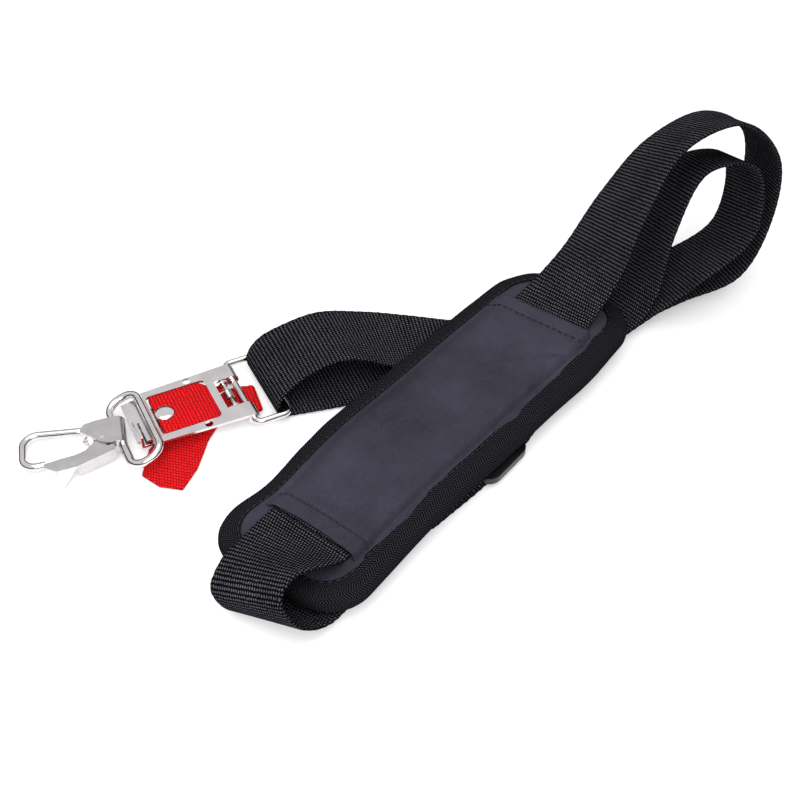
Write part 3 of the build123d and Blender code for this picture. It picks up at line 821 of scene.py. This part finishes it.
def binding_tape():
    """Herringbone tape folded over the pad's edge and sewn through."""
    u = 0.0
    levels = []
    for i, (inset, z) in enumerate(TAPE_OUTSIDE):
        if i:
            u += math.dist(TAPE_OUTSIDE[i], TAPE_OUTSIDE[i - 1])
        levels.append((inset, z, u))
    levels += [(inset, z, u + 40) for inset, z in TAPE_INSIDE]
    middle = Vector(((PAD_X0 + PAD_X1) / 2, PAD_MID_Y, 0))
    arc = arc_lengths(PAD_OUTLINE)
    verts, uvs = [], []
    for inset, z, u in levels:
        on_top = z > 13
        near_seam = 1.0 if inset > 4.0 and on_top else 0.35
        on_side = 9 < z < 16 and inset < 1.5
        for p, along in zip(inner_ring(inset), arc):
            here = Vector((p.x * 0.07, p.y * 0.07, 0.0))
            pucker = 0.22 * math.sin(along * 2 * math.pi / 7.3 + 2.0 * noise.noise(here * 1.7))
            dz = binding_lump(p) - abs(pucker) * near_seam if on_top else 0.0
            dent = 0.25 * noise.noise(here * 2.2 + Vector((5, 0, 0))) if on_side else 0.0
            inward = (middle - p).normalized() * max(0.0, dent)
            verts.append(row((p.x + inward.x, p.y + inward.y, z + dz)))
            uvs.append((u, along))
    faces = skin(len(levels), len(PAD_OUTLINE), closed=True)
    return make_solid("pad_binding_tape", verts, faces, BINDING, uvs)


binding = binding_tape()
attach(binding, "pad")
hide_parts("pad_binding")


def sleeve_sides(x):
    """Where the sleeve's cloth goes under the binding: near side, far side."""
    near = warp(x, PAD_MID_Y - PAD_HALF + 10.2)[1]
    far = warp(x, PAD_MID_Y + PAD_HALF - 7.8)[1]
    return near, far


def sleeve_shape(x, y):
    """Height of the sleeve panel's top: over the webbing, and down to the seams at its sides."""
    near, far = sleeve_sides(x)
    end = min(x - SLEEVE_X0, SLEEVE_X1 - x)
    open_up = 1 - smooth_step(end / 22.0)
    near_rise = smooth_step((y - near) / (3.6 - 1.2 * open_up))
    far_rise = smooth_step((far - y) / (10.0 - 2.5 * open_up))
    rise = min(near_rise, far_rise)
    base = 16.9 + (3.75 + 0.35 * open_up) * rise
    pull = bump_at(x, SLEEVE_X1, 30) + bump_at(x, SLEEVE_X0, 26)
    swell = 0.22 * noise.noise(Vector((x * 0.02, y * 0.05, 1.0)))
    slant = math.sin((x * 0.55 + y * 0.9) * 0.16 + 1.3) * 0.14 * pull
    skew = (y + 50) * 0.8
    tuck = -0.9 * math.exp(-((x - 50 + skew) / 2.6) ** 2 - ((y + 50) / 4.0) ** 2)
    tuck += 0.55 * math.exp(-((x - 44 + skew) / 3.2) ** 2 - ((y + 49) / 4.5) ** 2)
    waver = 2.0 * noise.noise(Vector((x * 0.03, 0, 9.0)))
    drag = 0.3 * math.sin(x * 0.42 + waver) * math.exp(-(y - near) / 5.0)
    folds = (tuck + drag * 0.6) * smooth_step((y - near) / 3.0)
    return base + (swell + slant) * (0.3 + 0.7 * rise) + folds


def sleeve_panel():
    nx, ny = 190, 60
    verts, faces = [], []
    for i in range(nx + 1):
        x = SLEEVE_X0 + (SLEEVE_X1 - SLEEVE_X0) * i / nx
        near, far = sleeve_sides(x)
        end = min(x - SLEEVE_X0, SLEEVE_X1 - x)
        hem = 0.4 if end < HEM_WIDTH + 0.2 else 0.0
        dip = -0.5 * bump_at(end, HEM_WIDTH + 0.4, 1.0)
        for j in range(ny + 1):
            s = -1 + 2 * j / ny
            y = near - 1.4 + (far - near + 2.8) * j / ny
            bow = END_BOW * (1 - s * s)
            xx = x + (bow if i < nx / 2 else -bow) * max(0.0, 1 - end / BOW_REACH)
            edge = min(1.0, (y - near + 1.4) / 3.5, (far + 1.4 - y) / 3.5)
            verts.append(row((xx, y, sleeve_shape(x, y) + (hem + dip) * edge)))
    for i in range(nx):
        for j in range(ny):
            a = i * (ny + 1) + j
            faces.append((a, a + ny + 1, a + ny + 2, a + 1))
    o = make_object("sleeve_cloth", verts, faces, FACE)
    thicken(o, 0.0007, -1)
    return o


panel = sleeve_panel()
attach(panel, "pad")
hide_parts("sleeve_panel")


def sleeve_stitching():
    count = 60
    lines = []
    for x, sign in ((SLEEVE_X0 + HEM_WIDTH, 1), (SLEEVE_X1 - HEM_WIDTH, -1)):
        line = []
        near, far = sleeve_sides(x)
        for j in range(count):
            s = -1 + 2 * j / (count - 1)
            y = near + 0.8 + (far - near - 1.6) * j / (count - 1)
            bow = END_BOW * (1 - s * s) * (1 - HEM_WIDTH / BOW_REACH) * sign
            line.append(Vector((x + bow, y, sleeve_shape(x, y) - 0.05)))
        lines.append(line)
    return stitches("hem_stitching", lines, 2.4, 0.9, 0.42, 0.2)


def binding_stitching():
    line = [Vector((p.x, p.y, 17.28 + binding_lump(p))) for p in inner_ring(7.15)]
    return stitches("binding_stitching", [line + line[:1]], 2.3, 1.0, 0.3, 0.18)


for seam in (sleeve_stitching(), binding_stitching()):
    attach(seam, "pad")

# ---------------------------------------------------------------- hardware

for name in ("strap_ring", "hook_ring", "hook_wire"):
    shade_smooth(dress(name, WIRE))
soften(dress("release_plate", SHEET), 0.00022)
soften(dress("release_lever", SHEET), 0.0002)
# The hook body and gate take the darker nickel, which is painted shade.
soften(dress("hook_body", SHADED_HOOK_SHEET), 0.00045, 3)
soften(dress("gate", SHADED_HOOK_SHEET), 0.0002)
soften(dress("tri_glide", PLASTIC), 0.0006, 3)


# Rivet profile about its axis: radius, height, mm.
RIVET = [(0.9, -4.7), (2.6, -4.6), (2.7, -3.9), (1.5, -3.8), (1.5, 0.0), (3.9, 0.0), (4.35, 0.1),
         (4.5, 0.4), (4.35, 0.8), (3.9, 1.1), (3.0, 1.34), (2.0, 1.46), (1.0, 1.5), (0.2, 1.5)]


def rivet_dome(sides=40):
    """The rivet's domed head, shank and closed end, turned about its own axis."""
    centre = hardware_point(49.4, 0, 7.2)
    up = Vector((0, 0, 1))
    u = up.orthogonal().normalized()
    v = up.cross(u)
    verts = []
    for radius, height in RIVET:
        for j in range(sides):
            w = 2 * math.pi * j / sides
            out = (u * math.cos(w) + v * math.sin(w)) * radius
            verts.append(row(centre + up * height + out))
    faces = skin(len(RIVET), sides) + caps(len(RIVET), sides)
    return make_solid("rivet_dome", verts, faces, POLISHED)


rivet = rivet_dome()
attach(rivet, "lever")
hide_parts("strap_rivet")
soften(dress("rivet_washer", POLISHED), 0.00012)
soften(dress("lever_pin", WIRE), 0.0002)
soften(dress("gate_pin", POLISHED), 0.0002)


def lever_coil():
    """The lever's torsion spring round its pin, with a straight leg at each end."""
    turns, pitch, radius, per_turn = 6.5, 0.82, 1.5, 14
    centre = hardware_point(20, 0, 6.0)
    axis = (hardware_point(0, 1, 0) - hardware_point(0, 0, 0)).normalized()
    u = axis.orthogonal().normalized()
    v = axis.cross(u)
    pts = [hardware_point(*p) for p in ((26.2, -2.3, 6.25), (23.4, -2.35, 6.25), (21.4, -2.6, 6.9))]
    for i in range(int(turns * per_turn) + 1):
        w = 2 * math.pi * i / per_turn
        k = pitch * (i / per_turn - turns / 2)
        pts.append(centre + axis * k + u * math.cos(w) * radius + v * math.sin(w) * radius)
    pts += [hardware_point(*p) for p in ((20.4, 3.2, 7.35), (20.2, 5.2, 7.35), (20.0, 7.2, 7.3))]
    return tube("lever_spring_coil", pts, 0.34, SPRING)


coil = lever_coil()
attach(coil, "plate")
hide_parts("lever_spring")
dress("gate_spring", SPRING)

# ---------------------------------------------------------------- red strap

# The pull tail's outline and the turn under the ring, both in the hardware frame.
TAIL_OUTLINE = [(27.5, -6), (40, -3), (61, 12), (68, 24.5), (63.5, 33.8), (55.5, 39.7), (46, 31),
                (36.8, 17.8), (27.5, 8)]
RED_TURN = [(25.8, 0.0, 5.2), (23.8, 0.0, 4.0), (21.8, 0.0, 2.75), (19.5, 0.3, 2.45),
            (15.0, 1.0, 2.55), (11.5, 2.2, 2.8), (9.0, 2.8, 2.55), (8.2, 2.8, 1.75),
            (9.6, 2.4, 0.85), (16.0, 1.2, 0.85), (21.0, 0.4, 0.85), (25.3, 0.0, 0.85)]


def red_top():
    """The red webbing doubled under its rivet, gathered towards the lever's ears."""
    levels, columns = 46, 22
    start, end = 26.4, 53.0
    gathered, spread = 7.0, 5.1
    low = 4.75
    verts, uvs = [], []
    for i in range(levels):
        s = start + (end - start) * i / (levels - 1)
        open_up = smooth_step((s - 25.8) / 3.6)
        half = gathered + spread * open_up
        slope = clamp((s - 28.3) / 3.2)
        ring = []
        for j in range(columns + 1):
            a = -1 + 2 * j / columns
            ripple = 0.22 * math.sin(s * 1.05 + a * 1.5) * abs(a) ** 3
            pleat = 0.35 * math.cos(a * 5.5) * (1 - (half - gathered) / 5.0)
            edge = 0.25 * math.sin(s * 2.1) * abs(a) ** 8
            top = low + 2.35 + ripple * 0.6 + pleat * 0.5 - 0.5 * abs(a) ** 10
            top += (0.62 - 0.25 * a * a) * smooth_step(slope)
            if a < 0:
                top += (0.45 * abs(a) ** 10 + 0.3 * a * a) * slope
            ring.append((a * half * (1 + edge / half), top, a * 12 + 12))
        bottom = [(y, low + 0.05, u + UNDERSIDE_U) for y, _, u in reversed(ring)]
        for y, z, u in ring + bottom:
            from_rivet = math.hypot(s - 49.4, y)
            if z > low + 1 and from_rivet < 6.0:
                z -= 0.25 * math.exp(-((from_rivet - 3.0) / 1.6) ** 2)
            verts.append(row(hardware_point(s, y - 0.55 * open_up, z)))
            uvs.append((u, s))
    around = 2 * (columns + 1)
    faces = skin(levels, around) + caps(levels, around)
    return make_solid("red_strap_run", verts, faces, RED_WEB, uvs)


def flat_cells(poly, cell):
    """A flat outline cut into square cells."""
    bm = bmesh.new()
    bm.faces.new([bm.verts.new((p.x, p.y, 0)) for p in poly])
    for axis in (0, 1):
        low = min(p[axis] for p in poly)
        high = max(p[axis] for p in poly)
        normal = Vector((1 - axis, axis, 0))
        for k in range(1, int((high - low) / cell)):
            bmesh.ops.bisect_plane(bm, geom=bm.verts[:] + bm.edges[:] + bm.faces[:],
                                   plane_co=normal * (low + k * cell), plane_no=normal)
    mesh = bpy.data.meshes.new("flat_cells")
    bm.to_mesh(mesh)
    bm.free()
    return mesh


def red_tail():
    """The pull tail: one layer of red webbing lying on the table, its end cut slanting."""
    poly = [Vector(p) for p in TAIL_OUTLINE]
    corner = poly[5]
    along = (corner - poly[7]).normalized()
    across = Vector((along.y, -along.x))
    flat = flat_cells(poly, 0.9)
    verts, uvs = [], []
    for v in flat.vertices:
        p = Vector((v.co.x, v.co.y))
        u = (p - corner).dot(across)
        w = (p - corner).dot(along)
        z = 0.95 + 0.28 * noise.noise(Vector((u * 0.13, w * 0.1, 2.0))) + 0.15 * math.sin(w * 0.35)
        verts.append(row(hardware_point(p.x, p.y, z)))
        uvs.append((u, w))
    faces = [tuple(p.vertices) for p in flat.polygons]
    o = make_object("red_pull_tail", verts, faces, RED_WEB, uvs)
    thicken(o, 0.0011, 0)
    return o


def red_turn():
    """The red webbing's crumpled turn under the strap ring's bar, puffed where it turns."""
    across = hardware_point(0.12, 1, 0) - hardware_point(0, 0, 0)
    stations = [(hardware_point(*p), across) for p in RED_TURN]
    return band("red_turn", stations, RED_WEB, sway=0.4, seed=4.4, width=16.2, thick=1.1,
                step=0.8, columns=20)


for o, node, body in ((red_top(), "release_strap", "lever"), (red_tail(), "pull_tail", "lever"),
                      (red_turn(), "pull_fold", "plate")):
    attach(o, body)
    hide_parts(node)

# ---------------------------------------------------------------- stage

bpy.ops.mesh.primitive_plane_add(size=8, location=(0, 0, -0.0004))
floor = bpy.context.object
floor.name = "floor"
paint, _, shader = new_material("floor paint")
shader.inputs["Base Color"].default_value = (0.72, 0.72, 0.72, 1)
shader.inputs["Emission Color"].default_value = (1, 1, 1, 1)
shader.inputs["Emission Strength"].default_value = 0.33
shader.inputs["Roughness"].default_value = 0.9
floor.data.materials.append(paint)

bpy.context.scene.view_settings.view_transform = "Standard"
world = bpy.data.worlds.new("studio")
bpy.context.scene.world = world
world.use_nodes = True
wt = world.node_tree
sky = wt.nodes.new("ShaderNodeTexCoord")
sky_split = wt.nodes.new("ShaderNodeSeparateXYZ")
wt.links.new(sky.outputs["Generated"], sky_split.inputs[0])
SKY = [
    (0.0, (0.02, 0.02, 0.022)),
    (0.33, (0.025, 0.025, 0.027)),
    (0.42, (0.55, 0.55, 0.56)),
    (0.50, (0.84, 0.84, 0.84)),
    (0.80, (0.84, 0.84, 0.84)),
    (0.92, (1.0, 1.0, 1.0)),
]
height = sky_split.outputs[2]
overhead = times(wt, math_node(wt, "GREATER_THAN", height, 0.9), 1.4)
wt.links.new(ramp(wt, height, SKY), wt.nodes["Background"].inputs[0])
wt.links.new(plus(wt, overhead, 0.95), wt.nodes["Background"].inputs[1])


def lamp(name, place, target, size, energy):
    data = bpy.data.lights.new(name, "AREA")
    data.shape = "RECTANGLE"
    data.size = size
    data.size_y = size
    data.energy = energy
    o = bpy.data.objects.new(name, data)
    bpy.context.scene.collection.objects.link(o)
    o.location = place
    o.rotation_euler = (Vector(target) - Vector(place)).to_track_quat("-Z", "Y").to_euler()


lamp("key", (-0.36, -0.24, 0.42), (-0.05, 0, 0), size=0.45, energy=2.6)

cam_data = bpy.data.cameras.new("camera")
cam_data.lens = 52.65
cam_data.sensor_width = 36
cam_data.clip_start = 0.01
cam = bpy.data.objects.new("camera", cam_data)
bpy.context.scene.collection.objects.link(cam)
cam.location = row((-299.24, -234.7, 354.6))
look = row((0, 0, 0)) - cam.location
cam.rotation_euler = look.to_track_quat("-Z", "Y").to_euler()
bpy.context.scene.camera = cam
